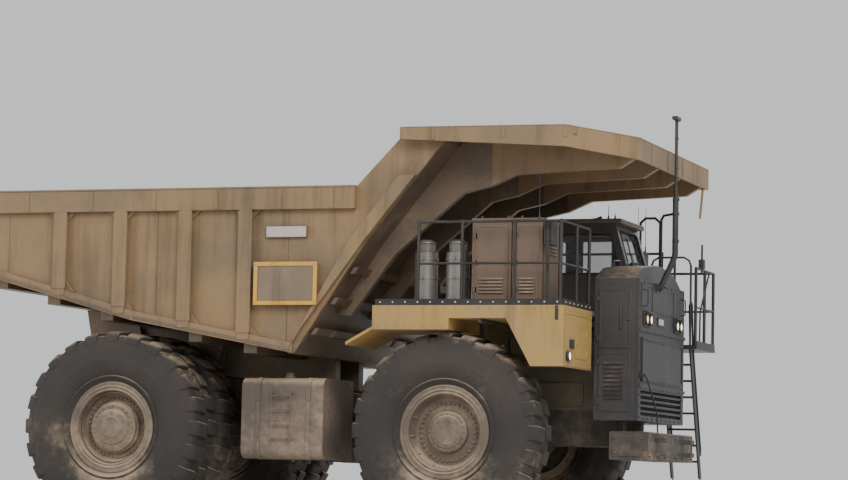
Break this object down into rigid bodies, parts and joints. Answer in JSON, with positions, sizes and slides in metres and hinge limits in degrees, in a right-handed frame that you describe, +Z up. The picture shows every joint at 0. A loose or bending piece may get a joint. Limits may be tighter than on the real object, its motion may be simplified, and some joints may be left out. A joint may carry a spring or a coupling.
{
  "type": "rigid mining dump truck",
  "caption": "Large two-axle mining hauler with a tipping bed and canopy, hoists, steered front wheels, twin rear wheels, cab, deck and rails.",
  "frame": {"origin": "on the ground, at the middle of the truck's box", "axes": "+X forward, +Y to the truck's left, +Z up"},
  "size_m": [13.757, 7.32, 7.67],
  "materials": {
    "frame_steel": "dusty matte",
    "axle_iron": "dusty",
    "strut_steel": "oily",
    "engine_iron": "plain",
    "hood_paint": "dusty",
    "grille_paint": "dusty",
    "lamp_lens": "clear",
    "fender_paint": "dusty",
    "deck_steel": "tread plate",
    "rail_paint": "worn",
    "cab_paint": "dusty",
    "roof_paint": "dusty",
    "cab_glass": "tinted",
    "seat_cloth": "woven",
    "cab_plastic": "grained",
    "cabinet_paint": "dusty",
    "cleaner_steel": "dusty",
    "tank_paint": "dusty",
    "bed_steel": "scoured and dusty",
    "bed_paint": "faded and dusty",
    "hoist_paint": "dusty",
    "rod_chrome": "polished",
    "link_iron": "dusty",
    "tyre_rubber": "dusty",
    "rim_paint": "dusty"
  },
  "bodies": {
    "chassis": {"frame": "frame_steel", "bumper": "frame_steel", "rear_axle": "axle_iron", "struts": "strut_steel", "engine_block": "engine_iron", "hood": "hood_paint", "radiator_grille": "grille_paint", "lamps": "lamp_lens", "fender_right": "fender_paint", "fender_left": "fender_paint", "deck": "deck_steel", "handrail_right": "rail_paint", "handrail_left": "rail_paint", "landing_ladder": "rail_paint", "cab_floor": "deck_steel", "cab_rear": "cab_paint", "cab_right_side": "cab_paint", "cab_left_side": "cab_paint", "cab_front": "cab_paint", "cab_roof": "roof_paint", "cab_glass": "cab_glass", "cab_seat": "seat_cloth", "cab_console": "cab_plastic", "deck_cabinet": "cabinet_paint", "air_cleaners": "cleaner_steel", "tank_right": "tank_paint", "tank_left": "tank_paint", "mirrors": "rail_paint", "mast": "rail_paint"},
    "bed": {"bed_floor": "bed_steel", "bed_beams": "bed_steel", "bed_side_right": "bed_paint", "bed_side_left": "bed_paint", "bed_front": "bed_steel", "bed_canopy": "bed_paint"},
    "cab_door": {"cab_door": "cab_paint", "cab_door_glass": "cab_glass"},
    "tie_rod": {"tie_rod": "link_iron"},
    "knuckle_left": {"knuckle_left": "link_iron"},
    "wheel_front_left": {"tyre_front_left": "tyre_rubber", "rim_front_left": "rim_paint"},
    "wheel_rear_left": {"tyre_rear_left": "tyre_rubber", "rim_rear_left": "rim_paint"},
    "hoist_barrel_left": {"hoist_barrel_left": "hoist_paint"},
    "hoist_stage_left": {"hoist_stage_left": "strut_steel"},
    "hoist_rod_left": {"hoist_rod_left": "rod_chrome"},
    "steer_barrel_left": {"steer_barrel_left": "hoist_paint"},
    "steer_rod_left": {"steer_rod_left": "rod_chrome"},
    "knuckle_right": {"knuckle_right": "link_iron"},
    "wheel_front_right": {"tyre_front_right": "tyre_rubber", "rim_front_right": "rim_paint"},
    "wheel_rear_right": {"tyre_rear_right": "tyre_rubber", "rim_rear_right": "rim_paint"},
    "hoist_barrel_right": {"hoist_barrel_right": "hoist_paint"},
    "hoist_stage_right": {"hoist_stage_right": "strut_steel"},
    "hoist_rod_right": {"hoist_rod_right": "rod_chrome"},
    "steer_barrel_right": {"steer_barrel_right": "hoist_paint"},
    "steer_rod_right": {"steer_rod_right": "rod_chrome"}
  },
  "joints": [
    {"name": "bed_tilt", "type": "hinge", "parent": "chassis", "child": "bed", "pos_m": [-4.425, 0, 3.05], "axis": [0, -1, 0], "range_deg": [0, 45]},
    {"name": "steering", "type": "hinge", "parent": "chassis", "child": "knuckle_left", "pos_m": [3.375, 1.9, 1.77], "axis": [0, 0, 1], "range_deg": [-35, 35]},
    {"name": "steering_right", "type": "hinge", "parent": "chassis", "child": "knuckle_right", "pos_m": [3.375, -1.9, 1.77], "axis": [0, 0, 1], "range_deg": [-35, 35]},
    {"name": "tie_rod_pivot", "type": "hinge", "parent": "knuckle_left", "child": "tie_rod", "pos_m": [2.775, 1.9, 1.33], "axis": [0, 0, 1], "range_deg": [-35, 35]},
    {"name": "cab_door_hinge", "type": "hinge", "parent": "chassis", "child": "cab_door", "pos_m": [4.105, 2.574, 4.95], "axis": [0, 0, 1], "range_deg": [0, 90]},
    {"name": "wheel_front_left_spin", "type": "hinge", "parent": "knuckle_left", "child": "wheel_front_left", "pos_m": [3.375, 2.79, 1.77], "axis": [0, 1, 0], "continuous": true},
    {"name": "wheel_rear_left_spin", "type": "hinge", "parent": "chassis", "child": "wheel_rear_left", "pos_m": [-2.975, 2.465, 1.77], "axis": [0, 1, 0], "continuous": true},
    {"name": "hoist_swing_left", "type": "hinge", "parent": "chassis", "child": "hoist_barrel_left", "pos_m": [-2.075, 0.985, 1.45], "axis": [0, -1, 0], "range_deg": [0, 10.6]},
    {"name": "hoist_stage_slide_left", "type": "slide", "parent": "hoist_barrel_left", "child": "hoist_stage_left", "axis": [0, 0, 1], "range_m": [0, 0.89]},
    {"name": "hoist_rod_slide_left", "type": "slide", "parent": "hoist_stage_left", "child": "hoist_rod_left", "axis": [0, 0, 1], "range_m": [0, 0.89]},
    {"name": "steer_swing_left", "type": "hinge", "parent": "chassis", "child": "steer_barrel_left", "pos_m": [2.715, 0.92, 1.63], "axis": [0, 0, 1], "range_deg": [-6, 6]},
    {"name": "steer_slide_left", "type": "slide", "parent": "steer_barrel_left", "child": "steer_rod_left", "axis": [0.2927, 0.9562, 0], "range_m": [-0.25, 0.25]},
    {"name": "wheel_front_right_spin", "type": "hinge", "parent": "knuckle_right", "child": "wheel_front_right", "pos_m": [3.375, -2.79, 1.77], "axis": [0, 1, 0], "continuous": true},
    {"name": "wheel_rear_right_spin", "type": "hinge", "parent": "chassis", "child": "wheel_rear_right", "pos_m": [-2.975, -2.465, 1.77], "axis": [0, 1, 0], "continuous": true},
    {"name": "hoist_swing_right", "type": "hinge", "parent": "chassis", "child": "hoist_barrel_right", "pos_m": [-2.075, -0.985, 1.45], "axis": [0, -1, 0], "range_deg": [0, 10.6]},
    {"name": "hoist_stage_slide_right", "type": "slide", "parent": "hoist_barrel_right", "child": "hoist_stage_right", "axis": [0, 0, 1], "range_m": [0, 0.89]},
    {"name": "hoist_rod_slide_right", "type": "slide", "parent": "hoist_stage_right", "child": "hoist_rod_right", "axis": [0, 0, 1], "range_m": [0, 0.89]},
    {"name": "steer_swing_right", "type": "hinge", "parent": "chassis", "child": "steer_barrel_right", "pos_m": [2.715, -0.92, 1.63], "axis": [0, 0, 1], "range_deg": [-6, 6]},
    {"name": "steer_slide_right", "type": "slide", "parent": "steer_barrel_right", "child": "steer_rod_right", "axis": [0.2927, -0.9562, 0], "range_m": [-0.25, 0.25]}
  ],
  "couplings": [
    {"joint": "steering_right", "follows": "steering", "ratio": 1},
    {"joint": "tie_rod_pivot", "follows": "steering", "ratio": -1},
    {"joint": "hoist_swing_left", "follows": "bed_tilt", "ratio": 0.23},
    {"joint": "hoist_stage_slide_left", "follows": "bed_tilt", "m_per_rad": 1.125},
    {"joint": "hoist_rod_slide_left", "follows": "bed_tilt", "m_per_rad": 1.125},
    {"joint": "steer_swing_left", "follows": "steering", "ratio": -0.092},
    {"joint": "steer_slide_left", "follows": "steering", "m_per_rad": -0.307},
    {"joint": "hoist_swing_right", "follows": "bed_tilt", "ratio": 0.23},
    {"joint": "hoist_stage_slide_right", "follows": "bed_tilt", "m_per_rad": 1.125},
    {"joint": "hoist_rod_slide_right", "follows": "bed_tilt", "m_per_rad": 1.125},
    {"joint": "steer_swing_right", "follows": "steering", "ratio": -0.092},
    {"joint": "steer_slide_right", "follows": "steering", "m_per_rad": 0.307}
  ]
}
